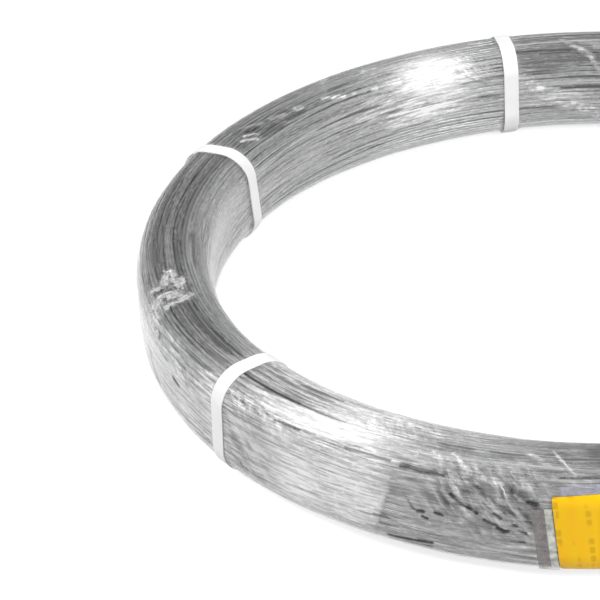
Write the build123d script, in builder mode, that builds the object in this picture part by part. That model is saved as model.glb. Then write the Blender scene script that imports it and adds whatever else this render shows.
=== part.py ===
"""Oval fence wire: a flat-lying coil of galvanised oval wire, film-wrapped, strapped and labelled."""
import os
from math import cos, radians, sin

from build123d import *

# Coil of wire, over the backs of its outermost turns, in millimetres: 700 across in all
coil_bore_d = 588.0
coil_build = 56.0
coil_height = 80.0
coil_corner_r = 22.0

# Oval wire: its wide way is the pitch of the turns side by side, and half its thickness shows in the groove
# between two of them, whose flanks leave the middle of each back flat
wire_wide = 3.0
wire_thin = 2.4
turn_flat = 1.2

# Stretch film round the whole section, through the bore
film_thick = 0.3
film_gap = 0.3

# Plastic straps over the film, each a closed loop with a welded lap underneath: azimuth at mid-height,
# lean along the turns, and the arc that each is cut from, in degrees to either side
strap_wide = 12.5
strap_thick = 0.7
strap_gap = 0.4
strap_lap = 26.0
strap_azimuths = (46.0, 105.0, 161.1, 223.0, 286.0, 345.0)
strap_leans = (0.0, 0.0, 6.5, 4.2, 0.0, 0.0)
strap_reach = 5.0

# Printed label in a clear pocket on the outer side
label_wide = 80.0
label_tall = 58.0
label_thick = 0.25
label_corner_r = 2.0
label_tilt = 5.7
label_centre_x = 15.2
label_centre_z = 0.5
pocket_rim_side = 14.0
pocket_rim_end = 4.0
pocket_rise = 1.0
pocket_corner_r = 3.0
pocket_sheet = 0.15
pocket_slack = 0.15
pocket_gap = 0.4

# Sizes that follow
bore_r = coil_bore_d / 2
outer_r = bore_r + coil_build
section_mid_r = bore_r + coil_build / 2
film_out = film_gap + film_thick
strap_in = film_out + strap_gap
strap_out = strap_in + strap_thick
coil_mid_z = coil_height / 2 + strap_out + strap_thick
pocket_in = film_out + pocket_gap
label_in = pocket_in + pocket_sheet + pocket_slack
label_out = label_in + label_thick
cavity_in = pocket_in + pocket_sheet
cavity_out = label_out + pocket_slack
pocket_out = cavity_out + pocket_sheet

os.makedirs("parts", exist_ok=True)


def finish(part, name):
    """Label a finished piece and write it to its own file."""
    part.label = name
    export_step(part, f"parts/{name}.step")


def loop(stand_off, mode=Mode.ADD):
    """Outline round the coil's section, stand_off outside the backs of its turns."""
    with Locations((section_mid_r, coil_mid_z)):
        RectangleRounded(
            coil_build + 2 * stand_off,
            coil_height + 2 * stand_off,
            coil_corner_r + stand_off,
            mode=mode,
        )


# Wire coil: a turn's back stands out at every wire round the section, and the bore wall is plain
wall_tall = coil_height - 2 * coil_corner_r
end_wide = coil_build - 2 * coil_corner_r

with BuildPart() as wire_coil:
    with BuildSketch(Plane.XZ):
        with BuildLine(mode=Mode.PRIVATE) as rim:
            bore_top = JernArc((bore_r, coil_mid_z + wall_tall / 2), (0, 1), coil_corner_r, -90)
            top_end = Line(bore_top @ 1, bore_top @ 1 + Vector(end_wide, 0))
            outer_top = JernArc(top_end @ 1, (1, 0), coil_corner_r, -90)
            outer_wall = Line(outer_top @ 1, outer_top @ 1 - Vector(0, wall_tall))
            outer_bottom = JernArc(outer_wall @ 1, (0, -1), coil_corner_r, -90)
            bottom_end = Line(outer_bottom @ 1, outer_bottom @ 1 - Vector(end_wide, 0))
            JernArc(bottom_end @ 1, (-1, 0), coil_corner_r, -90)
        rim_wire = rim.wire()
        turns = round(rim_wire.length / wire_wide)

        flank = (1 - turn_flat / wire_wide) / 2

        def groove(step):
            """Foot of the groove before a turn, level with the bore wall at the two ends."""
            depth = wire_thin / 2 if 0 < step < turns else 0
            along = rim_wire.tangent_at(step / turns)
            return rim_wire.position_at(step / turns) + Vector(along.Y, -along.X) * depth

        def back(step):
            """The two ends of a turn's flat back."""
            return [rim_wire.position_at((step + share) / turns) for share in (flank, 1 - flank)]

        outline = [point for step in range(turns) for point in (groove(step), *back(step))]
        with BuildLine():
            Polyline(*outline, groove(turns), close=True)
        make_face()
    revolve(axis=Axis.Z)
finish(wire_coil.part, "wire_coil")

# Film wrap: one taut skin round the section
with BuildPart() as film_wrap:
    with BuildSketch(Plane.XZ):
        loop(film_out)
        loop(film_gap, Mode.SUBTRACT)
    revolve(axis=Axis.Z)
finish(film_wrap.part, "film_wrap")


def make_strap(name, azimuth, lean):
    """One strap laid flat round the section, with its lap under the coil: a leaning slice of a band."""
    start = radians(-strap_reach)
    radial = Plane(origin=(0, 0, 0), x_dir=(cos(start), sin(start), 0), z_dir=(sin(start), -cos(start), 0))
    with BuildPart() as strap:
        with BuildSketch(radial) as band:
            loop(strap_out)
            loop(strap_in, Mode.SUBTRACT)
        revolve(band.sketch, axis=Axis.Z, revolution_arc=2 * strap_reach)
        with BuildSketch(radial) as lap:
            loop(strap_out + strap_thick)
            loop(strap_out, Mode.SUBTRACT)
            with Locations((section_mid_r, coil_mid_z - coil_height / 2)):
                Rectangle(strap_lap, coil_corner_r, mode=Mode.INTERSECT)
        revolve(lap.sketch, axis=Axis.Z, revolution_arc=2 * strap_reach)
        with Locations((section_mid_r, 0, coil_mid_z)):
            Box(2 * coil_build, strap_wide, 2 * coil_height, rotation=(-lean, 0, 0), mode=Mode.INTERSECT)
    finish(Rot(0, 0, azimuth) * strap.part, name)


for number, (azimuth, lean) in enumerate(zip(strap_azimuths, strap_leans), 1):
    make_strap(f"strap_{number}", azimuth, lean)


def outer_band(inner, outer):
    """Band round the outer side only, from one stand-off to another, up to the ends' flats."""
    with BuildSketch(Plane.XZ) as band:
        loop(outer)
        loop(inner, Mode.SUBTRACT)
        with Locations((outer_r, coil_mid_z)):
            Rectangle(2 * coil_corner_r, 2 * coil_height, mode=Mode.INTERSECT)
    revolve(band.sketch, axis=Axis.Z)


def trim_to_card(wide, tall, rise, corner_r):
    """Keep what lies inside a tilted card-shaped prism that looks at the front of the coil."""
    with BuildSketch(Plane.XZ) as card:
        with Locations((label_centre_x, coil_mid_z + label_centre_z + rise)):
            RectangleRounded(wide, tall, corner_r, rotation=label_tilt)
    extrude(card.sketch, amount=2 * outer_r, mode=Mode.INTERSECT)


# Label and its clear pocket, curved round the outer side
with BuildPart() as label:
    outer_band(label_in, label_out)
    trim_to_card(label_wide, label_tall, 0, label_corner_r)
finish(label.part, "label")

with BuildPart() as pocket_hollow:
    outer_band(cavity_in, cavity_out)
    trim_to_card(label_wide + 2 * pocket_slack, label_tall + 2 * pocket_slack, 0, label_corner_r)

with BuildPart() as label_pocket:
    outer_band(pocket_in, pocket_out)
    trim_to_card(
        label_wide + 2 * pocket_rim_side, label_tall + 2 * pocket_rim_end, pocket_rise, pocket_corner_r
    )
    add(pocket_hollow.part, mode=Mode.SUBTRACT)
finish(label_pocket.part, "label_pocket")
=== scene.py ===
"""Looks of a coil of galvanised oval wire that lies flat: wound turns, stretch film, straps and a label."""
from math import pi, radians

import bpy
import numpy as np
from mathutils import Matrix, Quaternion, Vector


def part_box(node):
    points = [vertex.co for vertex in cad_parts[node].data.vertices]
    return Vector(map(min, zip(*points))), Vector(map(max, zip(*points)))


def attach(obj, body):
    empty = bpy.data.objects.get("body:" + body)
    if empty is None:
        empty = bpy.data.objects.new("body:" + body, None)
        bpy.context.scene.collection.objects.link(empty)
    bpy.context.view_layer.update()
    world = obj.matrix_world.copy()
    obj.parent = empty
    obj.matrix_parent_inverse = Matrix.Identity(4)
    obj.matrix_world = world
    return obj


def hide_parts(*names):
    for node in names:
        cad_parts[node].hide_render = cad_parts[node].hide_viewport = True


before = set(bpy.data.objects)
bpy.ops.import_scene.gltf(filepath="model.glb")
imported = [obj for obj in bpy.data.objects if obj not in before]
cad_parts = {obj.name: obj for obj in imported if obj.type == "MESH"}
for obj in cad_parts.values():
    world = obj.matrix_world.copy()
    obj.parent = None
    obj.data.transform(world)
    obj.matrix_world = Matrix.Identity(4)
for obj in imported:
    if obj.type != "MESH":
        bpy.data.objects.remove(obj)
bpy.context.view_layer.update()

MM = 0.001
SEED = 11

# Coil section in mm, over the backs of the outermost turns, as in the CAD source
COIL_HEIGHT = 80
COIL_BUILD = 56
CORNER = 22

# The same in metres, with the outside and the mid height read from the frame
coil_low, coil_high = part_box("wire_coil")
OUTER_R = round(coil_high[0], 4)
MID_Z = (coil_low[2] + coil_high[2]) / 2
CORNER_R = CORNER * MM
WALL = (COIL_HEIGHT - 2 * CORNER) * MM
END = (COIL_BUILD - 2 * CORNER) * MM
QUARTER = CORNER_R * pi / 2
AROUND = 2 * WALL + 2 * END + 4 * QUARTER

# Round the section in mm, and mm along the outer wall in one degree of azimuth
AROUND_MM = AROUND / MM
DEGREE = radians(1) * OUTER_R / MM


def rim(s, lift=0.0):
    """Radius and height on the section's outline, s metres up from mid outer side, lift metres outside it."""
    s = np.mod(s, AROUND)
    starts = np.cumsum([WALL / 2, QUARTER, END, QUARTER, WALL, QUARTER, END, QUARTER])
    turn = sum(np.clip((s - starts[i]) / QUARTER, 0, 1) for i in (0, 2, 4, 6)) * pi / 2
    centre_r = OUTER_R - CORNER_R - np.clip(s - starts[1], 0, END) + np.clip(s - starts[5], 0, END)
    centre_z = np.clip(s, 0, WALL / 2) - np.clip(s - starts[3], 0, WALL) + np.clip(s - starts[7], 0, WALL / 2)
    return centre_r + (CORNER_R + lift) * np.cos(turn), MID_Z + centre_z + (CORNER_R + lift) * np.sin(turn)


def place(phi, s, lift):
    """Points in space from azimuth, place round the section and height over the turns' backs."""
    r, z = rim(s, lift)
    return np.stack([r * np.cos(phi), r * np.sin(phi), z], -1)


def shares(phi, s):
    """Texture places: the azimuth and the place round the section as shares of their rounds."""
    return np.stack(np.broadcast_arrays(phi / (2 * pi), s / AROUND), -1)


def wrapped(value, period):
    """How far a value is from the nearest whole number of periods, with its sign."""
    return np.mod(value + period / 2, period) - period / 2


def from_place(phi, s, azimuth, place_mm):
    """Millimetres along the turns and round the section from a named place."""
    return wrapped(np.degrees(phi) - azimuth, 360) * DEGREE, wrapped(s / MM - place_mm, AROUND_MM)


def turned(x, y, angle):
    """Lengths along a direction and across it."""
    c, k = np.cos(radians(angle)), np.sin(radians(angle))
    return x * c + y * k, y * c - x * k


def within(x, y, half_x, half_y, power):
    """How far inside a soft patch: 1 in its middle, 0 well outside. A higher power gives a flatter top."""
    return np.exp(-((x / half_x) ** power + (y / half_y) ** power))


# Smooth noise in -1..1

LINE_CELLS = 8192
PLANE_CELLS = 256


def eased(share):
    """A share from 0 to 1 that starts and ends level."""
    return share * share * (3 - 2 * share)


def table_noise(table, x, y):
    """Noise from a table of values that wraps on both sides, with x and y in its cells."""
    rows, columns = table.shape
    i, j = np.floor(x).astype(int), np.floor(y).astype(int)
    a, b = eased(x - i), eased(y - j)
    i, j = i % rows, j % columns
    k, m = (i + 1) % rows, (j + 1) % columns
    low = table[i, j] * (1 - a) + table[k, j] * a
    high = table[i, m] * (1 - a) + table[k, m] * a
    return low * (1 - b) + high * b


def value_noise(u, v, cells_u, cells_v, seed):
    """Noise over u and v, which both wrap at 1."""
    table = np.random.default_rng(seed).uniform(-1, 1, (cells_u, cells_v))
    return table_noise(table, np.mod(u, 1) * cells_u, np.mod(v, 1) * cells_v)


def plane_noise(x, y, seed):
    """Noise over a plane, one cell long per unit."""
    return table_noise(np.random.default_rng(seed).uniform(-1, 1, (PLANE_CELLS, PLANE_CELLS)), x, y)


def line_noise(x, seed):
    """Noise along one line, one cell long per unit."""
    table = np.random.default_rng(seed).uniform(-1, 1, LINE_CELLS)
    i = np.floor(x).astype(int)
    a = eased(x - i)
    return table[i % LINE_CELLS] * (1 - a) + table[(i + 1) % LINE_CELLS] * a


# Meshes


def mesh_object(name, points, faces, material, uv=None, attributes=None):
    """A smooth-shaded piece from points and quads, with its material, that rides on the coil."""
    mesh = bpy.data.meshes.new(name)
    mesh.from_pydata(np.asarray(points, np.float32).reshape(-1, 3), [], faces, shade_flat=False)
    if uv is not None:
        layer = mesh.uv_layers.new(name="UVMap")
        layer.data.foreach_set("uv", np.asarray(uv, np.float32).reshape(-1, 2)[faces.ravel()].ravel())
    for key, values in (attributes or {}).items():
        layer = mesh.attributes.new(key, "FLOAT", "POINT")
        layer.data.foreach_set("value", np.asarray(values, np.float32).ravel())
    mesh.validate()
    mesh.materials.append(material)
    piece = bpy.data.objects.new(name, mesh)
    bpy.context.scene.collection.objects.link(piece)
    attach(piece, "root")
    return piece


def grid_faces(rows, columns, wrap_rows=False, wrap_columns=False):
    """Quads of a grid of points, rows by columns, wrapped where asked."""
    i = np.arange(rows if wrap_rows else rows - 1)
    j = np.arange(columns if wrap_columns else columns - 1)
    i, j = np.meshgrid(i, j, indexing="ij")
    k, m = (i + 1) % rows, (j + 1) % columns
    return np.stack([i * columns + j, k * columns + j, k * columns + m, i * columns + m], -1).reshape(-1, 4)


# Materials


class Nodes:
    """A material, or the world, with short ways to add nodes and link them."""

    def __init__(self, name, world=False):
        self.owner = (bpy.data.worlds if world else bpy.data.materials).new(name)
        self.owner.use_nodes = True
        self.tree = self.owner.node_tree
        self.tree.nodes.clear()
        self.output = self.add("OutputWorld" if world else "OutputMaterial")

    def add(self, kind, values=None, **settings):
        node = self.tree.nodes.new("ShaderNode" + kind)
        for key, value in settings.items():
            setattr(node, key, value)
        for key, value in (values or {}).items():
            if isinstance(value, bpy.types.NodeSocket):
                self.tree.links.new(value, node.inputs[key])
            else:
                node.inputs[key].default_value = value
        return node

    def math(self, operation, a, b=0.0, c=0.0, clamp=False):
        node = self.add("Math", {0: a, 1: b, 2: c}, operation=operation, use_clamp=clamp)
        return node.outputs[0]

    def ramp(self, value, low, high, out_low=0.0, out_high=1.0):
        node = self.add("MapRange", {0: value, 1: low, 2: high, 3: out_low, 4: out_high}, clamp=True)
        return node.outputs[0]

    def mix_colour(self, share, a, b):
        node = self.add("Mix", {0: share, 6: a, 7: b}, data_type="RGBA")
        return node.outputs[2]

    def mix(self, share, a, b):
        return self.add("MixShader", {0: share, 1: a, 2: b}).outputs[0]

    def noise(self, vector, scale, detail=3.0, roughness=0.5, distortion=0.0):
        values = {"Vector": vector, "Scale": scale, "Detail": detail}
        values |= {"Roughness": roughness, "Distortion": distortion}
        return self.add("TexNoise", values).outputs[0]

    def stretched(self, vector, x, y, z=1.0):
        return self.add("Mapping", {"Vector": vector, "Scale": (x, y, z)}).outputs[0]

    def attribute(self, name):
        return self.add("Attribute", attribute_name=name).outputs["Fac"]

    def bump(self, height, strength, distance):
        return self.add("Bump", {"Strength": strength, "Distance": distance, "Height": height}).outputs[0]

    def principled(self, colour, roughness, others):
        values = {"Base Color": colour, "Roughness": roughness}
        return self.add("BsdfPrincipled", values | others).outputs[0]

    def clear(self):
        return self.add("BsdfTransparent").outputs[0]

    def glossy(self, roughness, bump):
        return self.add("BsdfGlossy", {"Color": grey(1.0), "Roughness": roughness, "Normal": bump}).outputs[0]

    def finish(self, shader):
        self.tree.links.new(shader, self.output.inputs["Surface"])
        return self.owner


def grey(value):
    return (value, value, value, 1)


ZINC_TINT = (0.985, 1.0, 1.01)


def galvanised(name, dark, light):
    """Zinc-coated wire: each turn has its own tone, painted shade darkens its flanks, and it has a satin
    shine.
    """
    n = Nodes(name)
    uv = n.add("UVMap").outputs[0]
    patches = n.noise(n.stretched(uv, 260, 160), 1.0, 3)
    tone = n.math("ADD", patches, n.math("MULTIPLY_ADD", n.attribute("tone"), 0.5, -0.25))
    bright = (*(light * share for share in ZINC_TINT), 1)
    zinc = n.mix_colour(n.ramp(tone, 0.18, 0.8), grey(dark), bright)
    # Painted shade: the flanks of each turn, away from the outside, run to near black
    colour = n.mix_colour(n.ramp(n.attribute("crown"), -0.6, 0.5), grey(0.06), zinc)
    bump = n.bump(patches, 0.3, 0.0003)
    roughness = n.ramp(tone, 0.2, 0.8, 0.5, 0.36)
    return n.finish(n.principled(colour, roughness, {"Metallic": 0.8, "Normal": bump}))


def front_shine(n, ior, bump):
    """Share of light that a sheet reflects, on its front side alone."""
    shine = n.add("Fresnel", {"IOR": ior, "Normal": bump}).outputs[0]
    back = n.add("NewGeometry").outputs["Backfacing"]
    return n.math("MULTIPLY", shine, n.math("SUBTRACT", 1.0, back))


# Angle between the turns and the film's fine folds, in degrees
CREASE_ANGLE = 50.0


def fine_folds(n, uv):
    """Long slanted noise, for the fine folds of creased film."""
    lengths = n.stretched(uv, 2 * pi * OUTER_R / MM, AROUND_MM)
    values = {"Vector": lengths, "Angle": radians(CREASE_ANGLE)}
    slanted = n.add("VectorRotate", values, rotation_type="Z_AXIS").outputs[0]
    return n.noise(n.stretched(slanted, 0.085, 0.26), 1.0, 5, 0.62, 0.9)


def film_veil(n, uv, crease, along, fine, folds):
    """How milky the film is: streaked haze, a painted highlight on crests of folds and a fine mottle."""
    streaks = n.ramp(along, 0.36, 0.62, 0.2, 1.45)
    streaks = n.add("Mix", {0: n.attribute("smooth"), 2: streaks, 3: 1.0}).outputs[0]
    veil = n.math("MULTIPLY", n.attribute("haze"), streaks)
    veil = n.math("MULTIPLY", veil, n.ramp(fine, 0.3, 0.7, 0.8, 1.2))
    # Painted highlight: milkier film along the crests of the fine folds
    veil = n.math("MULTIPLY_ADD", crease, n.ramp(folds, 0.5, 0.78, 0.0, 0.5), veil)
    # Painted shade: the hollows of the folds are made clearer, so the darker turns show
    hollows = n.math("MULTIPLY", crease, n.ramp(folds, 0.32, 0.52, 0.35, 0.0))
    veil = n.math("SUBTRACT", veil, hollows, clamp=True)
    mottle = n.ramp(n.noise(n.stretched(uv, 420, 120), 1.0, 3, 0.6), 0.5, 0.72)
    return n.math("MULTIPLY_ADD", mottle, 0.22, veil, clamp=True)


def film_skin_material():
    """Clear stretch film: milky where it is loose, near black under painted shade, and glossy."""
    n = Nodes("stretch_film")
    uv = n.add("UVMap").outputs[0]
    crease = n.attribute("crease")
    along = n.noise(n.stretched(uv, 56, 86), 1.0, 4, 0.6)
    fine = n.noise(n.stretched(uv, 150, 200), 1.0, 3)
    folds = fine_folds(n, uv)
    height = n.math("MULTIPLY_ADD", fine, 0.4, along)
    height = n.math("MULTIPLY_ADD", folds, n.math("MULTIPLY", crease, 1.7), height)
    bump = n.bump(height, 0.6, 0.0017)
    # Painted shade in the hollows of the fine folds
    hollows = n.math("MULTIPLY", crease, n.ramp(folds, 0.32, 0.46, 0.3, 0.0))
    painted_shade = n.math("MAXIMUM", n.attribute("painted_shade"), hollows)
    veil = n.math("MAXIMUM", film_veil(n, uv, crease, along, fine, folds), painted_shade)
    colour = n.mix_colour(n.ramp(veil, 0.5, 1.0), grey(0.58), grey(0.92))
    # Painted shade: the film's colour runs to near black
    colour = n.mix_colour(n.ramp(painted_shade, 0.12, 0.6), colour, grey(0.03))
    milk = n.principled(colour, 0.4, {"Specular IOR Level": 0.12, "Normal": bump})
    shine = n.math("MULTIPLY", front_shine(n, 1.5, bump), n.ramp(painted_shade, 0.0, 0.9, 1.0, 0.1))
    return n.finish(n.mix(shine, n.mix(veil, n.clear(), milk), n.glossy(0.26, bump)))


def film_fold_material(name, low, high):
    """Folded or crumpled film, several layers thick, with a share of milk between two limits."""
    n = Nodes(name)
    where = n.add("TexCoord").outputs["Object"]
    rough = n.noise(where, 170, 3)
    bump = n.bump(n.math("ADD", rough, n.noise(where, 600, 3)), 0.5, 0.0008)
    milk = n.principled(grey(0.8), 0.3, {"Normal": bump})
    return n.finish(n.mix(n.ramp(rough, 0.38, 0.62, low, high), n.clear(), milk))


STRAP_WHITE = 0.86
STRAP_SOILED = (0.80, 0.80, 0.79, 1)


def strap_material():
    """White plastic strapping with a faint embossed weave."""
    n = Nodes("strapping")
    where = n.add("TexCoord").outputs["Object"]
    weave = n.noise(where, 1400, 2)
    soil = n.noise(where, 60, 3)
    colour = n.mix_colour(n.ramp(soil, 0.35, 0.75), grey(STRAP_WHITE), STRAP_SOILED)
    return n.finish(n.principled(colour, 0.42, {"Normal": n.bump(weave, 0.25, 0.0001)}))


# Label: its tilt in degrees, its middle, and the spacing of its marks
LABEL_TILT = 5.7
LABEL_X = 15.2 * MM
LABEL_Z = MID_Z + 0.5 * MM
LABEL_COLUMN = 10 * MM
LABEL_ROW = 7 * MM
CARD_YELLOW = (1.0, 0.62, 0.0, 1)
CARD_DEEPER = (1.0, 0.55, 0.0, 1)
PRINT_BROWN = (0.55, 0.27, 0.0, 1)

# Pocket, from the label's middle: where its side seal and border start and how high they reach, and where
# the flap at its top starts, ends and fades
SEAL_FROM = 40.8 * MM
BORDER_FROM = 45.5 * MM
STRIP_TOP = 20.5 * MM
FLAP_FROM = 29.6 * MM
FLAP_TO = 39.0 * MM
FLAP_FADE = 6 * MM
SEAL_PALE = (0.80, 0.84, 0.76, 1)
BORDER_DULL = (0.30, 0.27, 0.27, 1)
FLAP_BLUISH = (0.42, 0.42, 0.50, 1)


def on_label(n, where):
    """A place in the label's own tilted frame, and its lengths across and up, in metres from the middle."""
    shifted = n.add("VectorMath", {0: where, 1: (-LABEL_X, 0, -LABEL_Z)}, operation="ADD").outputs[0]
    values = {"Vector": shifted, "Angle": radians(LABEL_TILT)}
    level = n.add("VectorRotate", values, rotation_type="Y_AXIS").outputs[0]
    split = n.add("SeparateXYZ", {0: level})
    return level, split.outputs[0], split.outputs[2]


def label_material():
    """Yellow card with faint plain marks in place of its print."""
    n = Nodes("label_card")
    where = n.add("TexCoord").outputs["Object"]
    level, across, up = on_label(n, where)
    column = n.math("FRACT", n.math("MULTIPLY", across, 1 / LABEL_COLUMN))
    row = n.math("FRACT", n.math("MULTIPLY", up, 1 / LABEL_ROW))
    bars = n.math("MULTIPLY", n.math("LESS_THAN", column, 0.34), n.math("LESS_THAN", row, 0.7))
    broken = n.math("GREATER_THAN", n.noise(level, 90, 1), 0.54)
    ink = n.math("MULTIPLY", n.math("MULTIPLY", bars, broken), 0.45)
    wash = n.noise(n.stretched(where, 120, 120, 12), 1.0, 2)
    card = n.mix_colour(n.ramp(wash, 0.35, 0.65), CARD_YELLOW, CARD_DEEPER)
    return n.finish(n.principled(n.mix_colour(ink, card, PRINT_BROWN), 0.6, {"Specular IOR Level": 0.2}))


def pocket_material():
    """Clear glossy pocket, with a pale seal and a dull border at its sides and a bluish flap at its top."""
    n = Nodes("clear_pocket")
    where = n.add("TexCoord").outputs["Object"]
    _, across, up = on_label(n, where)
    ripple = n.noise(where, 160, 3)
    bump = n.bump(ripple, 0.35, 0.0006)
    side = n.math("ABSOLUTE", across)
    below = n.math("LESS_THAN", up, STRIP_TOP)
    past_seal, past_border = (n.math("GREATER_THAN", side, edge) for edge in (SEAL_FROM, BORDER_FROM))
    border = n.math("MULTIPLY", past_border, below)
    seal = n.math("SUBTRACT", n.math("MULTIPLY", past_seal, below), border)
    flap = n.ramp(side, FLAP_TO, FLAP_TO - FLAP_FADE)
    flap = n.math("MULTIPLY", n.math("GREATER_THAN", up, FLAP_FROM), flap)
    tint = n.mix_colour(flap, n.mix_colour(seal, BORDER_DULL, SEAL_PALE), FLAP_BLUISH)
    strips = n.math("MAXIMUM", seal, n.math("MAXIMUM", border, flap))
    share = n.math("MULTIPLY", strips, n.ramp(ripple, 0.38, 0.62, 0.2, 0.65))
    body = n.mix(share, n.clear(), n.principled(tint, 0.35, {"Normal": bump}))
    return n.finish(n.mix(front_shine(n, 1.2, bump), body, n.glossy(0.15, bump)))


# Wire: one long wire laid in turns side by side round the section, with wander and opened grooves

WIRE_WIDE = 3.0 * MM
WIRE_THIN = 2.4 * MM
PITCH = 2.65 * MM
TURNS = round(AROUND / PITCH)

# Depth of the wire's middle under the turns' backs
WIRE_DEPTH = 1.65 * MM

# Steps in one turn and sides of the oval section
STEPS = 280
SIDES = 6

# Dark grooves between turns that show in the photo: azimuth and place in mm at both ends, width in mm and
# depth 0..1
GROOVES = [
    (223.8, 48.5, 234.3, 48.5, 5, 1), (234.3, 48.5, 240.9, 48, 3.2, 0.8), (240.9, 48, 247.4, 48, 2.8, 0.5),
    (224.3, 41, 229.4, 41, 3.4, 0.7), (230.9, 53, 233.3, 55, 3.4, 0.5), (231.7, 65, 238.1, 67, 6, 0.7),
    (232.5, 31, 236.2, 32, 4, 0.9), (236.2, 32, 238.3, 33, 3, 0.5), (230.2, 35, 231.8, 31, 3, 0.6),
    (242.3, 32, 247.9, 32, 3.4, 0.8), (239.4, 25, 246.2, 27, 2.8, 0.5), (240.1, 18, 242.7, 18, 2, 0.5),
    (243.2, 13, 246.3, 12, 3.2, 0.5), (234.1, -14, 244.9, -8, 3, 0.5), (247.5, -30, 252.6, -27, 3.6, 1),
    (226.7, -18, 228.2, -20, 3.4, 1), (245.9, -11, 247.7, -11, 2.4, 0.9), (249.1, 30, 254, 30, 4, 1),
    (255.3, 30, 256.9, 30, 4, 0.8), (249.8, 24, 254.3, 24, 2.4, 0.6), (252.3, 52, 256.6, 52, 4.4, 0.8),
    (258.3, 52, 262.1, 52, 4.4, 0.8), (266.3, 37, 272, 38, 3.6, 0.9), (266.6, 51, 274, 52, 6, 0.8),
    (266.7, 43, 274, 43, 4, 0.7), (205, 58, 219.7, 57, 5, 1), (208.5, 61, 213.2, 62, 2.6, 0.6),
    (216.2, 48, 221.4, 48, 3, 0.8), (214.6, 35.5, 220.3, 36, 3, 0.7), (198.9, 66, 201.9, 64, 3.6, 1),
    (164.2, 69, 195, 69, 2.8, 0.7), (165.1, 56, 170.7, 57, 2.4, 0.6), (185.1, 50, 194.4, 52, 3.6, 0.7),
    (183.6, 64, 188.8, 66, 2.8, 0.7), (185.3, 75, 195.3, 77, 2.8, 0.8), (184.4, 43, 194.7, 46, 4, 0.8),
    (140.7, 55, 156.1, 55, 5, 0.9), (152.5, 66, 155, 62, 5, 1), (145.6, 66, 147.4, 65.5, 5, 0.9),
    (148.3, 78, 153.8, 77, 3, 0.8), (143, 76, 147.3, 75, 3.4, 0.8), (133.4, 112, 138.5, 110, 4, 0.5),
    (129.5, 98, 142.4, 97, 3.2, 0.7), (130, 68, 136.7, 68, 4.4, 0.7), (131, 57, 132.5, 56, 4.4, 0.8),
    (134.6, 126, 140.6, 125, 2.8, 0.5), (119.9, 109, 130.2, 107, 3, 0.6), (107, 114, 110.8, 114, 3, 0.6),
    (93.7, 78, 103.8, 77, 6.5, 1), (89, 112, 96.6, 112.5, 4.5, 1), (89, 88, 103.6, 87, 3, 0.7),
    (96.6, 92.5, 103.4, 91.5, 3.2, 0.7), (101.7, 96.5, 104.1, 96, 3.2, 0.8),
    (89, 103.5, 96.6, 103, 2.8, 0.7), (95.8, 131, 103.9, 130, 3.2, 0.7),
]
LOOSE_GROOVES = 110

# Azimuths that the photo looks at, where the grooves added at random are shallower
SEEN_FROM, SEEN_TO = 85, 272


def groove_list():
    """The photo's grooves, and others scattered over the rest."""
    rng = np.random.default_rng(SEED)
    grooves = list(GROOVES)
    for _ in range(LOOSE_GROOVES):
        azimuth, half = rng.uniform(0, 360), rng.uniform(2.0, 8.0)
        place_mm = rng.uniform(0, AROUND_MM)
        depth = rng.uniform(0.2, 0.6) if SEEN_FROM < azimuth < SEEN_TO else rng.uniform(0.3, 1.0)
        grooves.append((azimuth - half, place_mm, azimuth + half, place_mm, rng.uniform(1.5, 3.6), depth))
    return grooves


def grooved(phi, s):
    """How far the grooves push the turns aside in mm, and how much of a groove is there, 0..1."""
    stray, deep = 0.0, 0.0
    for a0, s0, a1, s1, width, depth in groove_list():
        x, y = from_place(phi, s, (a0 + a1) / 2, (s0 + s1) / 2)
        half = (a1 - a0) / 2 * DEGREE
        y = y - (s1 - s0) / (2 * half) * np.clip(x, -half, half)
        end = np.exp(-12 * np.clip(np.abs(x) / half - 0.7, 0, None) ** 2)
        stray = stray + depth * np.sign(y) * width * 0.3 * end * np.exp(-np.abs(y) / 5)
        deep = np.maximum(deep, depth * end * np.exp(-((2 * y / width) ** 4)))
    return stray, deep


def along_wire(phi, turn):
    """Length of wire in metres up to an azimuth of a turn."""
    return (phi + 2 * pi * np.floor(turn)) * OUTER_R


def wander(phi, turn):
    """Place of a turn round the section, in metres: its share of the round, drifts shared with its
    neighbours and waves of its own."""
    u, v = phi / (2 * pi), turn / TURNS
    along = along_wire(phi, turn)
    stray = 1.1 * value_noise(u, v, 9, 7, 1) + 0.7 * value_noise(u, v, 23, 16, 2)
    stray = stray + 0.9 * line_noise(along / 0.10, 3) + 0.35 * line_noise(along / 0.035, 4)
    return turn * AROUND / TURNS + stray * MM


def sink(phi, turn, deep_groove):
    """How deep a turn lies under the backs, in metres, deeper in a groove."""
    u, v = phi / (2 * pi), turn / TURNS
    deep = 0.3 * value_noise(u, v, 12, 9, 5) + 0.5 * line_noise(along_wire(phi, turn) / 0.09, 6)
    deep = np.clip(deep, -0.8, 0.8) + 0.9 * deep_groove
    return WIRE_DEPTH + deep * MM


# Painted shade on stretches of wire: azimuth, place in mm, half width in degrees, half width in mm and change
# of tone
SHADED_STRETCHES = [
    (258, 10, 10, 42, -0.42), (273, 50, 10, 26, -0.9), (96, 72, 10, 24, -0.5), (203, 50, 14, 16, -0.22),
    (176, 60, 14, 22, -0.2), (174, 54, 22, 18, -0.2), (20, 10, 24, 30, -0.2), (320, 60, 18, 20, -0.2),
    (150, 70, 14, 10, -0.1),
]


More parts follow.
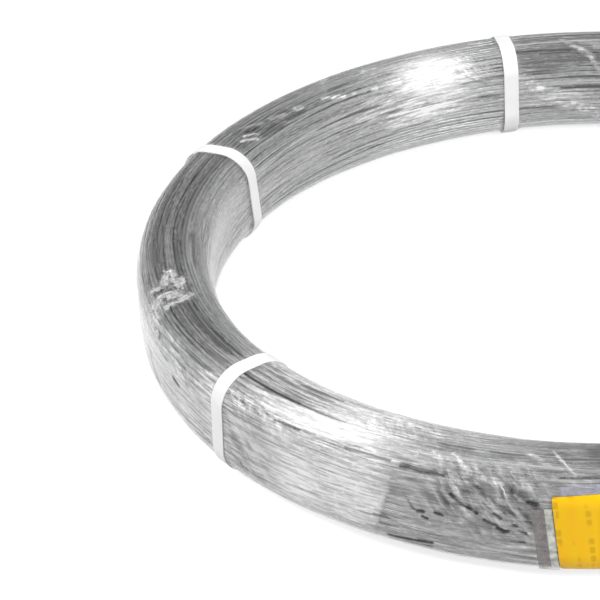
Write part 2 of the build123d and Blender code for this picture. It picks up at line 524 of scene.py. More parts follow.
def turn_tone(phi, turn, deep_groove):
    """How bright a turn is along its length: about 0..1, with painted shade in a groove and in the shaded
    stretches.
    """
    along = along_wire(phi, turn)
    group = value_noise(phi / (2 * pi), turn / TURNS, 9, 26, 8)
    tone = 0.52 + 0.3 * line_noise(along / 0.28, 7) + 0.16 * line_noise(along / 0.06, 9) + 0.36 * group
    # Painted shade along the grooves between the turns
    tone = tone - 1.1 * deep_groove
    for azimuth, place_mm, half_a, half_s, change in SHADED_STRETCHES:
        x, y = from_place(phi, turn * AROUND / TURNS, azimuth, place_mm)
        tone = tone + change * within(x, y, half_a * DEGREE, half_s, 4)
    return tone


def oval_tube(phi, middle, depth, wide):
    """Points of an oval tube along a path, their places round the section, and how far each faces outward."""
    ring = np.arange(SIDES) / SIDES * 2 * pi
    s = middle[:, None] + wide / 2 * np.cos(ring)
    lift = -depth[:, None] + WIRE_THIN / 2 * np.sin(ring)
    return place(phi[:, None], s, lift), s, np.broadcast_to(np.sin(ring), s.shape)


def wire_object(name, points, faces, uv, crown, tone, material):
    """A piece of the wire, with its material."""
    piece = mesh_object(name, points, faces, material, uv, {"crown": crown, "tone": tone})
    return piece


def turns_piece(name, first, last, material):
    """The wire's turns from one number to the next, as one tube with an oval section."""
    count = (last - first) * STEPS + 1
    running = first + np.arange(count) / STEPS
    phi = np.mod(np.arange(count) / STEPS, 1) * 2 * pi
    middle = wander(phi, running)
    stray, deep_groove = grooved(phi, middle)
    depth = sink(phi, running, deep_groove)
    points, s, crown = oval_tube(phi, middle + stray * MM, depth, 0.98 * WIRE_WIDE)
    uv = shares(phi[:, None], np.mod(s, AROUND))
    tone = np.broadcast_to(turn_tone(phi, running, deep_groove)[:, None], s.shape)
    faces = grid_faces(count, SIDES, wrap_columns=True)[:, ::-1]
    return wire_object(name, points, faces, uv, crown, tone, material)


# Turns that cross the others: how many, steps in each, and how far they drift round the section; in mm, how
# far they lie above the others and how far their ends dip
CROSSING_TURNS = 84
CROSSING_STEPS = 64
CROSSING_DRIFT = 16 * MM
CROSSING_RISE = 0.85
CROSSING_DIP = 2.2


def crossing_piece(material):
    """Stretches of wire that lie over the turns at a small angle and dip between them at both ends."""
    rng = np.random.default_rng(SEED + 3)
    points, faces, crowns, tones, uvs = [], [], [], [], []
    t = np.linspace(0, 1, CROSSING_STEPS)
    depth = WIRE_DEPTH + (CROSSING_DIP * np.abs(2 * t - 1) ** 6 - CROSSING_RISE) * MM
    one = grid_faces(CROSSING_STEPS, SIDES, wrap_columns=True)[:, ::-1]
    for index in range(CROSSING_TURNS):
        start, span = rng.uniform(0, 2 * pi), radians(rng.uniform(28, 75))
        phi = start + span * t
        drift = rng.uniform(-1, 1) * CROSSING_DRIFT
        middle = rng.uniform(0, AROUND) + drift * (t - 0.5) + 1.2 * MM * line_noise(t * 5 + 40 * index, 41)
        tube, s, crown = oval_tube(phi, middle, depth, WIRE_WIDE)
        faces.append(one + index * s.size)
        points.append(tube.reshape(-1, 3))
        uvs.append(shares(phi[:, None], s).reshape(-1, 2))
        crowns.append(crown.ravel())
        tones.append(np.full(s.size, rng.uniform(0.2, 0.8)))
    joined = [np.concatenate(parts) for parts in (points, faces, uvs, crowns, tones)]
    return wire_object("crossing_turns", *joined, material)


# Inner turns: rows round the coil, depth under the backs, height of the ridges, crown and tone
CORE_ROWS = 180
CORE_DEPTH = 3.1 * MM
CORE_RIDGE = 0.5 * MM
CORE_CROWN = 0.6
CORE_TONE = 0.4


def core_piece(material):
    """The turns under the outer layer, as one ridged ring in near-black painted shade that shows dark in the
    grooves.
    """
    columns = 2 * TURNS
    phi = np.arange(CORE_ROWS) / CORE_ROWS * 2 * pi
    s = np.arange(columns) / columns * AROUND
    phi, s = np.meshgrid(phi, s, indexing="ij")
    points = place(phi, s, CORE_RIDGE * np.cos(2 * pi * s / WIRE_WIDE) - CORE_DEPTH)
    crown, tone = np.full(s.shape, CORE_CROWN), np.full(s.shape, CORE_TONE)
    faces = grid_faces(CORE_ROWS, columns, True, True)
    return wire_object("inner_turns", points, faces, shares(phi, s), crown, tone, material)


# The greys that each zinc colour runs between; the near-black greys of the inner turns are painted shade
wire_look = galvanised("galvanised_wire", 0.13, 0.60)
shaded_wire_look = galvanised("galvanised_wire_shaded", 0.03, 0.06)
inner_turns = core_piece(shaded_wire_look)
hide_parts("wire_coil")
WIRE_PARTS = ("outer_top", "top", "bore", "underside")
limits = [int(limit) for limit in np.linspace(0, TURNS, len(WIRE_PARTS) + 1).round()]
for part_name, first, last in zip(WIRE_PARTS, limits[:-1], limits[1:]):
    turns_piece(f"turns_{part_name}", first, last, wire_look)
crossing_piece(wire_look)


# Stretch film: one skin round the section with its folds, milky patches and layer edges

# Height of the film over the turns' backs
FILM_LIFT = 0.55 * MM

# The patches near azimuths 119 and 236-245 are painted glare of the softboxes as well as milk
# Milk and painted glare: azimuth, place in mm, half width in degrees, half width in mm, strength and evenness
MILK_AND_GLARE = [
    (208, 8, 14, 16, 0.2, 0.3), (221, 2, 12, 20, 0.4, 0.5), (236, 4, 11, 30, 0.85, 0.6),
    (237, -16, 10, 14, 0.65, 0.6), (239, 42, 10, 9, 0.75, 0.75), (244.5, 6, 5, 34, 0.85, 0.6),
    (118.5, 82, 6.5, 26, 0.95, 0.8), (119, 98, 11, 38, 0.6, 0.3), (174, 103, 12, 19, 0.5, 1),
    (187, 2, 12, 14, 0.25, 0.3), (257, 14, 8, 34, 0.16, 0.8), (150, 118, 18, 14, 0.4, 0.3),
    (98, 120, 10, 16, 0.6, 0.4), (120.5, 116, 7, 11, 0.8, 0.4), (242, 52, 5, 8, 0.55, 0.8),
    (226, 76, 10, 8, 0.5, 0.6), (243, 72, 9, 22, 0.7, 0.65), (252, 64, 14, 12, 0.45, 0.5),
    (20, 20, 22, 26, 0.45, 0.4), (318, 30, 14, 22, 0.4, 0.4), (70, 95, 14, 16, 0.35, 0.3),
    (330, 100, 20, 18, 0.35, 0.3), (45, 60, 10, 14, 0.3, 0.2), (280, 52, 12, 10, 0.2, 0.3),
    (300, -20, 20, 20, 0.3, 0.4), (120, 10, 20, 20, 0.35, 0.3), (134, 100, 14, 20, 0.42, 0.1),
    (132, 66, 10, 6, 0.3, 0.2),
]

# Crumpled patches: azimuth, place in mm, half width in degrees, half width in mm, angle to the turns and
# strength
CRUMPLED = [
    (259, 17, 7, 25, -50, 0.85), (231, 27, 6, 7, -35, 0.35), (140, 78, 20, 8, -12, 0.3),
    (211, 22, 8, 10, 12, 0.6), (111, 82, 4, 14, -35, 0.5), (97, 90, 6, 14, -42, 0.3),
    (200, 52, 6, 14, 40, 0.5), (18, 24, 14, 30, -45, 0.8), (318, 20, 12, 26, -45, 0.8),
    (66, 80, 12, 24, -40, 0.6), (340, 92, 12, 20, -40, 0.6), (130, 8, 14, 26, -45, 0.7),
    (228, -4, 4, 26, -30, 0.45), (276, 66, 9, 14, -45, 0.5), (248, 58, 8, 10, -30, 0.4),
]

# Edges of film layers: azimuth at mid outer side, degrees per mm round the section, milkiness beyond it, and
# half width in mm of the gathered film along the edge
LAYERS = [
    (15, -0.17, 0.12, 2), (58, -0.16, 0.08, 1.2), (312, -0.17, 0.12, 2.5), (335, -0.15, 0.06, 1.2),
]

# Hazy sheets with an edge: azimuth from and to, place from and to in mm, strength, depth of painted shade,
# softness in mm
SHEETS = [
    (184, 223, -62, 36, 0.32, 0, 1.2), (163, 204, 79, 140, 0.4, 0.25, 5),
    (219, 236, -52, 34, 0.72, 0.28, 9), (248, 272, -34, 40, 0.62, 0.24, 4),
    (223, 240, 66, 86, 0.55, 0.2, 4), (221, 237, 42, 70, 0.45, 0.3, 6),
    (213, 223.5, -50, 30, 0.45, 0.25, 4), (267, 284, 34, 72, 0.3, 0.38, 4), (20, 60, -40, 30, 0.35, 0.1, 2),
    (300, 330, 40, 110, 0.35, 0.1, 2),
]

# Folds with painted highlight (strength over 0) and painted shade (under 0): azimuth and place in mm along
# each, half width in mm
STREAKS = [
    ([(254.4, 45), (255.2, 42), (255.6, 40), (256.2, 37)], 1.3, 1),
    ([(252.2, 44), (252.9, 41), (253.7, 38)], 1.7, 0.9), ([(250.5, 42), (250.9, 38)], 1.3, 0.8),
    ([(257, 42), (257.5, 39)], 1.7, 0.7), ([(258.2, 47), (259.1, 43)], 0.9, 0.5),
    ([(262.3, 57), (263.4, 51), (264.3, 47), (264.9, 45)], 2.4, 0.7),
    ([(260.1, 30), (260.6, 26), (261, 20)], 1.1, 0.9),
    ([(261, 20), (261.6, 15), (262.5, 6), (263.3, -2), (263.9, -14), (264, -26)], 1.5, 0.5),
    ([(265.2, 59), (266.3, 49), (267.2, 43), (267.9, 39)], 1.2, 0.9),
    ([(261.2, 49), (262.5, 44)], 2.2, 0.5), ([(259.6, 30), (259.7, 34)], 1.7, 0.5),
    ([(255.4, 15), (256.6, 8)], 0.9, 0.4), ([(257.5, 31), (258.4, 32)], 1.8, 0.5),
    ([(247.5, -26), (250, -24.5), (252.6, -23)], 1.6, -1), ([(249.5, 12), (250.1, 7)], 1.5, -0.3),
    ([(250.1, 7), (250.6, 2), (251.2, 0)], 1.5, -0.5), ([(251.2, 0), (251.8, 1)], 1.8, -0.9),
    ([(253.1, 2), (254, 1)], 1.5, -0.7), ([(251.7, -3), (252.2, -4)], 1.5, -0.8),
    ([(254.9, 19), (255.9, 13), (257, 10), (257.7, 7)], 1.6, -0.8),
    ([(258.5, 3), (259.1, 1), (259.8, 0)], 1.6, -0.9), ([(259.8, -2), (260.5, -4), (261, -4)], 1.9, -0.9),
    ([(259.5, 9), (260.3, 6)], 1.6, -0.7), ([(261.4, 2), (261.9, 1)], 1.5, -0.8),
    ([(262.1, -2), (262.9, -4)], 1.2, -0.7), ([(261.2, -11), (262.7, -11)], 1.2, -0.7),
    ([(256.9, 29), (257.8, 26), (258.5, 24)], 2, -0.6), ([(261, 28), (262.1, 24), (263.4, 19)], 9, -0.5),
    ([(249.3, 31), (251.5, 30), (254, 30)], 2.8, -0.5), ([(254, 31), (257.2, 31)], 3.6, -0.35),
    ([(263.1, 20), (263.9, 19)], 2.8, -0.9), ([(261.7, 15), (262.8, 13)], 2.6, -0.5),
    ([(224.9, 34), (226.3, 28)], 0.9, 0.9), ([(225.9, 35), (227.5, 27)], 1.2, 1),
    ([(227.1, 36), (228.7, 30)], 1.2, 0.9), ([(226.5, 34), (227.9, 30)], 0.9, -0.5),
    ([(228.8, 32), (230, 30)], 1.1, -0.5), ([(230.5, 32), (231.1, 28)], 1.3, 0.5),
    ([(233.3, 38), (234.4, 36)], 2.2, 0.4), ([(184.4, 55), (194.6, 56)], 1.4, 0.35),
    ([(183.3, 72), (194.9, 73)], 1.4, 0.3), ([(158, 69), (155.2, 77)], 1.6, 0.9),
    ([(156.6, 67), (154.3, 73)], 1.4, 0.8), ([(154.5, 57), (151.3, 67)], 1.8, 0.5),
    ([(149.6, 68), (146.9, 72)], 2.2, 0.6), ([(144.5, 72), (143.3, 73)], 2.2, 0.8),
    ([(138.9, 74), (135, 81)], 2, 1), ([(133.4, 82), (131.1, 83)], 2.2, 0.9),
    ([(131, 80), (128.9, 83)], 2.2, 1), ([(129.2, 59), (126.9, 61)], 3, 0.9),
    ([(136.2, 54), (134.9, 51)], 3, 0.6), ([(113.1, 83), (110.3, 91), (107.8, 102)], 3.6, 0.6),
    ([(113, 92), (111.3, 96)], 1.6, -0.35), ([(111.1, 97), (109.4, 101)], 1.6, -0.4),
    ([(113.4, 98), (112.2, 98)], 1.4, -0.3),
    ([(96.2, 65), (94, 75), (91.6, 84), (90.1, 96), (88, 110)], 2.4, 0.75),
    ([(95.4, 62), (90.1, 75)], 3.2, 0.6),
    ([(103.5, 101), (101.7, 106), (99.2, 116), (96.6, 125), (94.1, 130), (90.2, 138)], 6.5, 0.95),
    ([(203.6, 38), (205.3, 34), (207.8, 31)], 4.5, 0.85), ([(210, 34), (212.4, 30), (214.6, 25)], 3.5, 0.5),
    ([(101.8, 115), (98.7, 120)], 3, 0.4), ([(210.3, 35), (212.2, 29)], 2.2, 0.8),
    ([(212.3, 36), (214.1, 30)], 2.2, 0.8), ([(209.8, 4), (211.4, -10)], 2.2, 0.5),
    ([(207.5, 19), (210.9, 16)], 1.4, -0.6), ([(212.4, 7), (213.8, 5)], 2, -1),
    ([(203.1, -3), (204.5, -12), (206.9, -17)], 1.8, -0.5),
    ([(219.3, 15), (219.2, 2), (218.4, -16)], 2.4, -0.3),
]
LOOSE_STREAKS = 150

# Knot of gathered film, as the photo shows it: azimuth and place in mm along each branch, half width in mm
KNOT = [
    ([(197.2, 54), (199, 50), (200.8, 47), (200.6, 43), (200.1, 39)], 2),
    ([(204, 44), (203.8, 50), (204, 56)], 2),
    ([(197.2, 54), (198.7, 58), (199.3, 62), (200.2, 64), (201.4, 61)], 2),
    ([(199.3, 54), (200.6, 57), (202.2, 57)], 3),
    ([(204, 63), (205, 58), (205.2, 51), (205.5, 44), (205.6, 40)], 2),
    ([(202.7, 56), (202.8, 50), (202.8, 42), (203.4, 36), (204.3, 31), (206.5, 30), (208.2, 27)], 3),
    ([(205.5, 32), (207.6, 26), (209.4, 20)], 2.6),
]

# Where the film is one layer thick, beyond a sharp edge: azimuth at mid outer side, degrees per mm, top in mm
SINGLE_FROM = 247.3
SINGLE_SLOPE = 0.045
SINGLE_TOP = 33.0

# In mm: half a strap with some room, and how far the film rises to a strap's inner face
STRAP_HALF = 6.8
STRAP_GAP = 0.42
STRAP_COUNT = 6

# Half lengths in mm of the pocket with its tilt, and how far the film under it may rise, in mm
POCKET_REACH = (58.0, 40.0)
POCKET_ROOM = 0.38

# How far the film may lie under and over its usual height, in mm
FILM_RANGE = (-0.3, 1.8)


def loose_streaks():
    """Folds where the camera doesn't look: short, slanting, mostly with a painted highlight, some with
    painted shade.
    """
    rng = np.random.default_rng(SEED + 5)
    streaks = []
    for _ in range(LOOSE_STREAKS):
        azimuth, place_mm = rng.uniform(-84, 84), rng.uniform(0, AROUND_MM)
        length, angle = rng.uniform(4, 20), rng.normal(-50, 14)
        t = np.linspace(-0.5, 0.5, 3) * length
        bow = np.array([0, rng.uniform(-0.12, 0.12) * length, 0])
        x, y = turned(t, bow, -angle)
        points = list(zip(azimuth + x / DEGREE, place_mm + y))
        strength = rng.uniform(-0.9, -0.4) if rng.uniform() < 0.3 else rng.uniform(0.3, 0.9)
        streaks.append((points, rng.uniform(1.2, 2.6), strength))
    return streaks


def near_path(phi, s, points, half_width, flatness=2):
    """How near a path: 1 on it and 0 a few half widths away. A higher flatness gives a flatter top."""
    points = np.array(points, float)
    x, y = from_place(phi, s, *points[0])
    corners = (points - points[0]) * np.array([DEGREE, 1.0])
    best = np.full(np.broadcast(x, y).shape, np.inf)
    for start, end in zip(corners[:-1], corners[1:]):
        run = end - start
        t = np.clip(((x - start[0]) * run[0] + (y - start[1]) * run[1]) / (run @ run), 0, 1)
        best = np.minimum(best, (x - start[0] - t * run[0]) ** 2 + (y - start[1] - t * run[1]) ** 2)
    return np.exp(-((best / (1.25 * half_width) ** 2) ** flatness))


def folded(phi, s):
    """Height, milkiness and painted shade of the single folds and the knot's ground; the folds' milk is
    painted highlight.
    """
    lift, light, dark = 0.0, 0.0, 0.0
    ragged = 0.75 + 0.25 * plane_noise(np.degrees(phi) * 2.2, s / MM / 2.4, 93)
    for points, half_width, strength in STREAKS + loose_streaks():
        if strength > 0:
            close = near_path(phi, s, points, half_width) * ragged
            # Painted highlight along a light fold
            light = np.maximum(light, strength * close)
            lift = lift + 0.5 * strength * close
        else:
            close = near_path(phi, s, points, 0.75 * half_width, 1) * ragged
            # Painted shade along a dark fold
            dark = np.maximum(dark, -strength * close)
            lift = lift + 0.3 * strength * close
    gathers = 0.6 + 0.6 * plane_noise(np.degrees(phi) * 2.0, s / MM / 3.2, 97)
    for points, half_width in KNOT:
        close = near_path(phi, s, points, 1.6 * half_width) * ragged
        light = np.maximum(light, 0.85 * close * np.clip(gathers, 0.35, 1))
        lift = lift + 0.8 * close * gathers
    return lift, light, np.clip(1.3 * dark, 0, 0.9) * (1 - 0.7 * light)


def crumple(phi, s):
    """Height, milkiness with painted highlight on its ridges, creasing and painted shade of crumpled film."""
    lift, haze, crease, shade = 0.0, 0.0, 0.0, 0.0
    for index, (azimuth, place_mm, half_a, half_s, angle, strength) in enumerate(CRUMPLED):
        x, y = from_place(phi, s, azimuth, place_mm)
        inside = strength * within(x, y, half_a * DEGREE, half_s, 4)
        along, across = turned(x, y, angle)
        across = across + 2.0 * plane_noise(x / 14, y / 14, 60 + index)
        fold = plane_noise(along / 13 + 99, across / 3.4 + 99, 80 + index)
        ridge = np.abs(plane_noise(along / 16 + 50, across / 5.0 + 50, 120 + index))
        ridge = np.clip(1 - 3.2 * ridge, 0, 1)
        blots = plane_noise(along / 7 + 30, across / 3.0 + 30, 160 + index)
        lift = lift + inside * (0.35 * fold + 0.28 * ridge)
        # Painted highlight: milkier along the ridges
        haze = haze + inside * (0.15 * fold + 0.22 * ridge ** 3 * (0.5 + 0.5 * fold))
        crease = crease + inside
        # Painted shade between the folds
        shade = shade + inside * np.clip(0.14 - 0.18 * fold - 0.2 * blots, 0, 0.45)
    return lift, haze, crease, shade


def layer_edges(phi, s):
    """Height and milkiness where one layer of film ends on another."""
    lift, haze = 0.0, 0.0
    place_mm = wrapped(s / MM, AROUND_MM)
    for a0, slope, milk, _ in LAYERS:
        off = wrapped(np.degrees(phi) - a0 - slope * place_mm, 360) * DEGREE
        off = off + 1.5 * edge_wobble(a0, place_mm)
        layer = 1 / (1 + np.exp(1.5 * off)) * np.exp(-np.clip(-off, 0, None) / 45)
        lift = lift + 0.15 * layer
        haze = haze + milk * layer
    return lift, haze


def edge_wobble(a0, place_mm):
    """How a layer's edge wavers along its length, -1..1."""
    return plane_noise(place_mm / 12 + 90, a0, 77)


def sheets(phi, s):
    """Milkiness and painted shade of the hazy sheets, whose edges waver a little."""
    clear, painted_sheet_shade = 1.0, 0.0
    for number, (a0, a1, s0, s1, strength, shade_depth, soft) in enumerate(SHEETS):
        x, y = from_place(phi, s, (a0 + a1) / 2, (s0 + s1) / 2)
        waver = 1.5 * plane_noise(x / 14 + 60, y / 14 + 60, 200 + number)
        half = (a1 - a0) / 2 * DEGREE
        inside = 1 / (1 + np.exp((np.abs(x) - half + 6) / max(soft, 3.0)))
        inside = inside / (1 + np.exp((np.abs(y) + waver - (s1 - s0) / 2) / soft))
        clear = clear * (1 - strength * inside)
        painted_sheet_shade = np.maximum(painted_sheet_shade, shade_depth * inside)
    return 1 - clear, painted_sheet_shade


def groove_shade(phi, s):
    """How much painted shade darkens the film over the grooves in GROOVES, which lie between the turns."""
    shade = 0.0
    for a0, s0, a1, s1, width, depth in GROOVES:
        close = near_path(phi, s, [(a0, s0), (a1, s1)], max(0.2 * width, 0.8))
        shade = np.maximum(shade, 0.6 * depth * close)
    return shade


def milk_and_glare_patches(phi, s):
    """Milkiness and evenness of the patches of milk and painted glare."""
    clear, smooth = 1.0, 0.0
    for azimuth, place_mm, half_a, half_s, strength, evenness in MILK_AND_GLARE:
        inside = within(*from_place(phi, s, azimuth, place_mm), half_a * DEGREE, half_s, 2)
        clear = clear * (1 - np.clip(strength * inside, 0, 0.97))
        smooth = np.maximum(smooth, evenness * np.clip(1.6 * inside, 0, 1))
    return 1 - clear, smooth


def single_layer(phi, s):
    """Share of single film: 1 just beyond the sharp edge, less farther on and none above the top."""
    up = np.mod(s / MM + 100, AROUND_MM) - 100
    past = wrapped(np.degrees(phi) - SINGLE_FROM - SINGLE_SLOPE * up, 360)
    past = past + 0.25 * plane_noise(up / 5 + 90, 7, 55)
    fading = np.exp(-np.clip(past, 0, None) / 9)
    return fading / (1 + np.exp(-past * 9)) / (1 + np.exp((up - SINGLE_TOP) / 2))


def strap_lines():
    """Each strap's azimuth at mid height, and how far it leans along the coil per length of height."""
    bpy.context.view_layer.update()
    lines = []
    for number in range(1, STRAP_COUNT + 1):
        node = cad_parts[f"strap_{number}"]
        points = np.array([node.matrix_world @ vertex.co for vertex in node.data.vertices])
        points = points[np.hypot(points[:, 0], points[:, 1]) > OUTER_R]
        middle = np.arctan2(points[:, 1].mean(), points[:, 0].mean())
        off = wrapped(np.arctan2(points[:, 1], points[:, 0]) - middle, 2 * pi) * OUTER_R
        slope, start = np.polyfit(points[:, 2] - MID_Z, off, 1)
        lines.append((float(np.degrees(middle + start / OUTER_R)), float(slope)))
    return lines


STRAP_LINES = strap_lines()


def at_straps(phi, s, lift, haze):
    """Film height and milk at the straps: it rises evenly to their inner faces, and its milk paints out their
    shadow.
    """
    r, z = rim(s)
    for azimuth, slope in STRAP_LINES:
        off = np.abs(from_place(phi, s, azimuth, 0)[0] * r / OUTER_R - slope * (z - MID_Z) / MM)
        press = np.exp(-np.clip(off - STRAP_HALF, 0, None) / 2.5)
        lift = lift * (1 - press) + STRAP_GAP * press
        # Milkier film beside the straps, which also paints light over the straps' shadow
        haze = np.maximum(haze, 0.4 * press)
    return lift, haze


def under_pocket(phi, s, lift):
    """The film's height, kept low under the label's pocket."""
    x, y = from_place(phi, s, 270 + np.degrees(LABEL_X / OUTER_R), 0)
    under = (np.abs(x) < POCKET_REACH[0]) & (np.abs(y) < POCKET_REACH[1])
    return np.where(under, np.minimum(lift, POCKET_ROOM), lift)


def film_fields(phi, s):
    """The film's height in metres, and its milkiness with painted highlight and glare, creasing, evenness and
    painted shade.
    """
    u, v = phi / (2 * pi), s / AROUND
    lift = 0.16 * value_noise(u, v, 60, 14, 21) + 0.12 * value_noise(u, v, 210, 40, 22)
    haze = 0.03 + 0.05 * value_noise(u, v, 22, 7, 23)
    milk, smooth = milk_and_glare_patches(phi, s)
    edge_lift, edge_milk = layer_edges(phi, s)
    crumple_lift, crumple_milk, crease, crumple_shade = crumple(phi, s)
    fold_lift, light, dark = folded(phi, s)
    sheet_milk, sheet_shade = sheets(phi, s)
    single = single_layer(phi, s)
    haze = (haze + milk) * (1 - 0.9 * single) + 0.1 * single + edge_milk + crumple_milk
    haze = 1 - (1 - np.clip(haze, 0, 1)) * (1 - sheet_milk)
    # Painted highlight of the light folds
    haze = np.maximum(haze, 0.9 * light)
    # Painted shade of crumples, sheets and grooves
    dark = np.maximum(dark, np.clip(crumple_shade + sheet_shade, 0, 0.9) * (1 - light))
    dark = np.maximum(dark, groove_shade(phi, s) * (1 - light))
    lift, haze = at_straps(phi, s, lift + edge_lift + crumple_lift + fold_lift, haze)
    lift = np.clip(under_pocket(phi, s, lift), *FILM_RANGE) * MM
    return lift, {"haze": np.clip(haze, 0, 1), "crease": np.clip(crease, 0, 1), "smooth": smooth, "painted_shade": dark}


def film_object(name, points, faces, material, uv=None, fields=None):
    """A piece of film, with its material."""
    piece = mesh_object(name, points, faces, material, uv, fields)
    return piece


def film_piece(name, first, last, rows, columns, material):
    """The film's skin between two azimuths, which lie under straps."""
    phi = np.radians(np.linspace(first, last, rows + 1))
    s = np.arange(columns) / columns * AROUND
    phi, s = np.meshgrid(phi, s, indexing="ij")
    lift, fields = film_fields(phi, s)
    faces = grid_faces(rows + 1, columns, wrap_columns=True)
    return film_object(name, place(phi, s, FILM_LIFT + lift), faces, material, shares(phi, s), fields)


# Azimuths under straps where the skin's three lengths meet
SEAM_BACK = 45.7
SEAM_LEFT = 223.0
SEAM_RIGHT = 286.0

film_look = film_skin_material()
film_skin = film_piece("film_skin", SEAM_BACK, SEAM_LEFT, 590, 164, film_look)
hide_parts("film_wrap")
film_piece("film_skin_front", SEAM_LEFT, SEAM_RIGHT, 440, 210, film_look)
film_piece("film_skin_side", SEAM_RIGHT, SEAM_BACK + 360, 240, 130, film_look)


# Gathered film on the skin: pleats, edges of layers and the knot

# Azimuths of the straps that the photo doesn't show
HIDDEN_STRAPS = (46.0, 286.0, 345.0)

FOLD_SIDES = 6
FOLD_STEPS = 9
STRAND_STEPS = 24
STRANDS = 5
ON_SKIN = np.array([1 / DEGREE, 1.0])        # from mm along and round to degrees and mm


def fold_tubes(name, folds, material):
    """Flattened tapering tubes of gathered film along curved paths on the skin."""
    ring = np.arange(FOLD_SIDES) / FOLD_SIDES * 2 * pi
    points, faces, count = [], [], 0
    for path, half_width, height in folds:
        taper = np.sin(np.linspace(0.08, 0.92, len(path)) * pi)[:, None] ** 0.6
        run = np.gradient(path / ON_SKIN, axis=0)
        run /= np.linalg.norm(run, axis=1)[:, None] + 1e-9
        wide = half_width * taper * np.cos(ring)
        phi = np.radians(path[:, :1]) - wide * run[:, 1:] * MM / OUTER_R
        s = (path[:, 1:] + wide * run[:, :1]) * MM
        lift = FILM_LIFT + (0.3 + height * taper * (0.55 + 0.45 * np.sin(ring))) * MM
        faces.append(grid_faces(len(path), FOLD_SIDES, wrap_columns=True)[:, ::-1] + count)
        points.append(place(phi, s, lift).reshape(-1, 3))
        count += phi.size
    return film_object(name, np.concatenate(points), np.concatenate(faces), material)


def through(corners, steps):
    """Points in even steps along a path through corners."""
    corners = np.array(corners, float)
    t = np.linspace(0, len(corners) - 1, steps)
    return np.stack([np.interp(t, np.arange(len(corners)), corners[:, i]) for i in (0, 1)], -1)


def pleat_paths():
    """Sharp ridges along the strongest light folds, and short ones beside the straps that the photo hides."""
    rng = np.random.default_rng(SEED + 9)
    folds = []
    for points, half_width, strength in STREAKS + loose_streaks():
        if strength > 0.75 and half_width < 1.8:
            path = through(points, FOLD_STEPS)
            folds.append((path + rng.normal(0, 0.12, path.shape) * ON_SKIN, half_width * 0.4, 0.35))
    for azimuth in HIDDEN_STRAPS:
        for side in (-1, 1):
            for place_mm in np.arange(0, AROUND_MM, 13):
                t = np.linspace(0, rng.uniform(5, 12), FOLD_STEPS)
                angle = rng.uniform(-0.6, 0.6)
                start = place_mm + rng.uniform(-5, 5)
                path = np.stack([
                    azimuth + side * (2.0 + t * np.cos(angle) / DEGREE),
                    start + t * np.sin(angle) + rng.normal(0, 0.1, FOLD_STEPS)], -1)
                folds.append((path, rng.uniform(0.25, 0.45), rng.uniform(0.2, 0.4)))
    return folds


def edge_paths():
    """The gathered edges of the film's layers, in broken lengths."""
    rng = np.random.default_rng(SEED + 17)
    folds = []
    for a0, slope, _, half_width in LAYERS:
        place_mm = -100.0
        while place_mm < 125:
            length = rng.uniform(8, 34)
            t = np.linspace(place_mm, place_mm + length, max(6, int(length / 2)))
            path = np.stack([a0 + slope * t + 1.5 * edge_wobble(a0, t) / DEGREE, t], -1)
            folds.append((path, half_width * rng.uniform(0.6, 1.2), rng.uniform(0.15, 0.4)))
            place_mm += length + rng.uniform(-2, 9)
    return folds


def knot_paths():
    """The knot's branches, each as a bundle of thin crumpled strands."""
    rng = np.random.default_rng(SEED + 13)
    folds = []
    for corners, half_width in KNOT:
        middle = through(corners, STRAND_STEPS)
        t = np.linspace(0, len(corners) - 1, STRAND_STEPS)
        for _ in range(STRANDS):
            shift = rng.normal(0, half_width * 0.6, 2)
            wobble = np.stack([line_noise(t * 2.2 + rng.uniform(0, 900), 31 + i) for i in (0, 1)], -1)
            path = middle + (wobble * 1.7 + shift) * ON_SKIN
            folds.append((path, rng.uniform(0.8, 2.2), rng.uniform(0.4, 1.0)))
    return folds


fold_tubes("film_pleats", pleat_paths(), film_fold_material("film_pleat", 0.2, 0.75))
fold_tubes("film_edges", edge_paths(), film_fold_material("film_edge", 0.02, 0.38))
fold_tubes("film_knot", knot_paths(), film_fold_material("film_crumple", 0.05, 0.4))


# Straps, label and pocket keep their CAD shapes


def dress(node, look):
    """Puts a material on a CAD node."""
    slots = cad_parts[node].data.materials
    slots.clear()
    slots.append(look)


strapping = strap_material()
for number in range(1, STRAP_COUNT + 1):
    dress(f"strap_{number}", strapping)
dress("label", label_material())
dress("label_pocket", pocket_material())


# Floor, world, lamps and camera

FLOOR_HALF = 6.0
FLOOR_GREY = 0.45
FLOOR_GLOW = 0.75
WORLD_LIGHT = 0.42

# Lamps: name, direction from the coil, distance, side and power
LAMPS = [
    ("softbox_left", (-0.72, -0.23, 0.65), 2.4, 0.7, 34.5),
    ("softbox_right", (0.68, -0.52, 0.51), 2.6, 0.6, 51),
    ("softbox_top", (0.0, 0.1, 1.0), 2.6, 1.2, 17),
]

# Camera, as fitted to the coil's outline in the photo
CAMERA_AT = Vector((0.0, -1.4893, 0.8841))
CAMERA_LOOKS_AT = Vector((-0.2205, -0.0675, 0.0424))
CAMERA_ROLL = -4.016
LENS = 133.8
SENSOR = 36.0


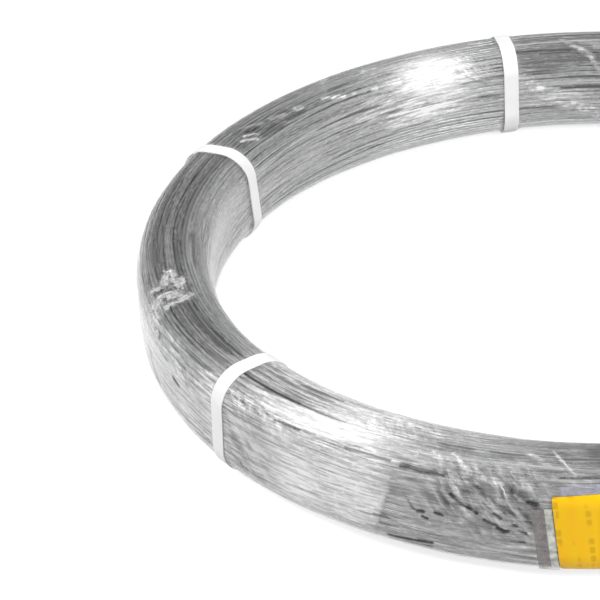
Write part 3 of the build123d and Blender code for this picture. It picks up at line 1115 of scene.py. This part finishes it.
def floor_piece():
    """A white floor that keeps the coil's soft shadow and shows white to the camera and in reflections."""
    corners = [(x * FLOOR_HALF, y * FLOOR_HALF, 0) for x, y in ((-1, -1), (1, -1), (1, 1), (-1, 1))]
    mesh = bpy.data.meshes.new("floor")
    mesh.from_pydata(corners, [], [(0, 1, 2, 3)])
    piece = bpy.data.objects.new("floor", mesh)
    bpy.context.scene.collection.objects.link(piece)
    n = Nodes("floor_white")
    path = n.add("LightPath")
    seen = n.math("MAXIMUM", path.outputs["Is Camera Ray"], path.outputs["Is Glossy Ray"])
    seen = n.math("MAXIMUM", seen, path.outputs["Is Transmission Ray"])
    lit = n.add("BsdfDiffuse", {"Color": grey(FLOOR_GREY)}).outputs[0]
    strength = n.math("MULTIPLY", seen, FLOOR_GLOW)
    glow = n.add("Emission", {"Color": grey(1.0), "Strength": strength}).outputs[0]
    piece.data.materials.append(n.finish(n.add("AddShader", {0: lit, 1: glow}).outputs[0]))
    return piece


def studio_world():
    """A world that is white to the camera and through film, and a plain soft light otherwise."""
    n = Nodes("studio", world=True)
    path = n.add("LightPath")
    seen = n.math("MAXIMUM", path.outputs["Is Camera Ray"], path.outputs["Is Transmission Ray"])
    level = n.ramp(seen, 0, 1, WORLD_LIGHT, 1)
    return n.finish(n.add("Background", {"Strength": level}).outputs[0])


def stand(name, thing, location, turn):
    """Puts a lamp or camera in the scene, turned by a quaternion."""
    holder = bpy.data.objects.new(name, thing)
    holder.location = location
    holder.rotation_mode = "QUATERNION"
    holder.rotation_quaternion = turn
    bpy.context.scene.collection.objects.link(holder)
    return holder


def softbox(name, towards, distance, side, power):
    """A square lamp in a direction from the coil, facing it."""
    lamp = bpy.data.lights.new(name, "AREA")
    lamp.shape = "RECTANGLE"
    lamp.size = side
    lamp.size_y = side
    lamp.energy = power
    direction = Vector(towards).normalized()
    stand(name, lamp, direction * distance, direction.to_track_quat("Z", "Y"))


def photo_camera():
    """The scene's camera, where the photo was taken from."""
    camera = bpy.data.cameras.new("camera")
    camera.lens = LENS
    camera.sensor_width = SENSOR
    look = (CAMERA_LOOKS_AT - CAMERA_AT).to_track_quat("-Z", "Y")
    return stand("camera", camera, CAMERA_AT, look @ Quaternion((0, 0, 1), radians(CAMERA_ROLL)))


floor_piece()
bpy.context.scene.world = studio_world()
for lamp_values in LAMPS:
    softbox(*lamp_values)
bpy.context.scene.camera = photo_camera()

bpy.context.scene.view_settings.view_transform = "Standard"
